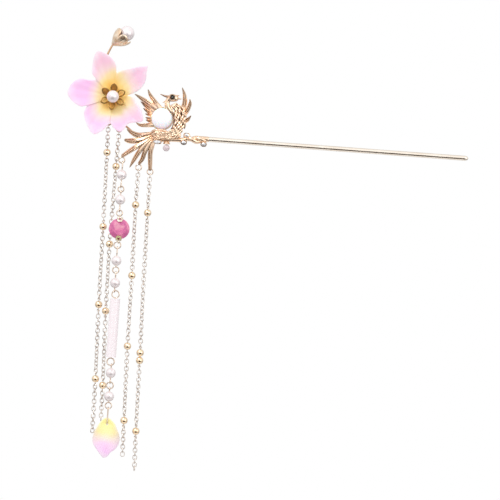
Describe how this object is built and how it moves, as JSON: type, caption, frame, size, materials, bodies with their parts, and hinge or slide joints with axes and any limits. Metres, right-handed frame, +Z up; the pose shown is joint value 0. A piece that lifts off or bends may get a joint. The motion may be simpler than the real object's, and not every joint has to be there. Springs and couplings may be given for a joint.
{
  "type": "buyao hairpin",
  "caption": "Long hair stick with a phoenix on a branch, a flower and pearl bud, a pearl string that ends in a petal drop, and fine chains with gold beads.",
  "frame": {"origin": "on the hair stick's axis at its root, where it leaves the branch", "axes": "+X along the stick to its tip, +Z up so that the chains hang along -Z, and the phoenix and flower face -Y"},
  "size_m": [0.1615, 0.0147, 0.1774],
  "materials": {
    "rose_gold": "polished rose gold plate",
    "pale_gold": "polished pale gold plate",
    "chain_metal": "polished pale gold plate, a little dark",
    "bead_gold": "mirror polished gold plate",
    "pearl": "pearl lustre",
    "opal": "milky opal gloss",
    "clear_stone": "cut and polished",
    "pink_stone": "cut and polished",
    "crystal": "clear crackled crystal",
    "petal": "translucent satin, yellow at the root and pink at the tips"
  },
  "bodies": {
    "hairpin": {"hair_stick": "pale_gold", "phoenix": "rose_gold", "opal": "opal", "eye_stone": "clear_stone", "branch_stone_1": "clear_stone", "branch_stone_2": "clear_stone", "branch_stone_3": "clear_stone", "branch_stone_4": "clear_stone", "cup_bead": "pearl", "flower_wire": "rose_gold", "flower": "petal", "flower_pin": "rose_gold", "stamen": "rose_gold", "stamen_pearl": "pearl", "bud_cup": "rose_gold", "bud_pearl": "pearl", "string_ring_1": "pale_gold", "string_ring_2": "pale_gold", "string_ring_3": "pale_gold", "string_ring_4": "pale_gold", "string_ring_5": "pale_gold", "pearl_1": "pearl", "pearl_2": "pearl", "pearl_3": "pearl", "pearl_4": "pearl", "pearl_5": "pearl", "pearl_6": "pearl", "pearl_pin_1": "pale_gold", "pearl_pin_2": "pale_gold", "pearl_pin_3": "pale_gold", "pearl_pin_4": "pale_gold", "pearl_pin_5": "pale_gold", "pearl_pin_6": "pale_gold", "stone_setting": "rose_gold", "pink_stone": "pink_stone", "crystal_rod": "crystal", "rod_pin": "pale_gold", "chain_ring_a": "pale_gold", "chain_ring_b": "pale_gold", "chain_ring_c": "pale_gold", "chain_ring_d": "pale_gold", "chain_a": "chain_metal", "chain_b": "chain_metal", "chain_c": "chain_metal", "chain_d": "chain_metal", "gold_beads_a": "bead_gold", "gold_beads_b": "bead_gold", "gold_beads_c": "bead_gold", "gold_beads_d": "bead_gold"},
    "petal_drop": {"drop_bail": "pale_gold", "petal_drop": "petal"}
  },
  "joints": [
    {"name": "drop_swing", "type": "hinge", "parent": "hairpin", "child": "petal_drop", "pos_m": [-0.0323, -0.0015, -0.1103], "axis": [1, 0, 0], "range_deg": [-60, 12]}
  ]
}
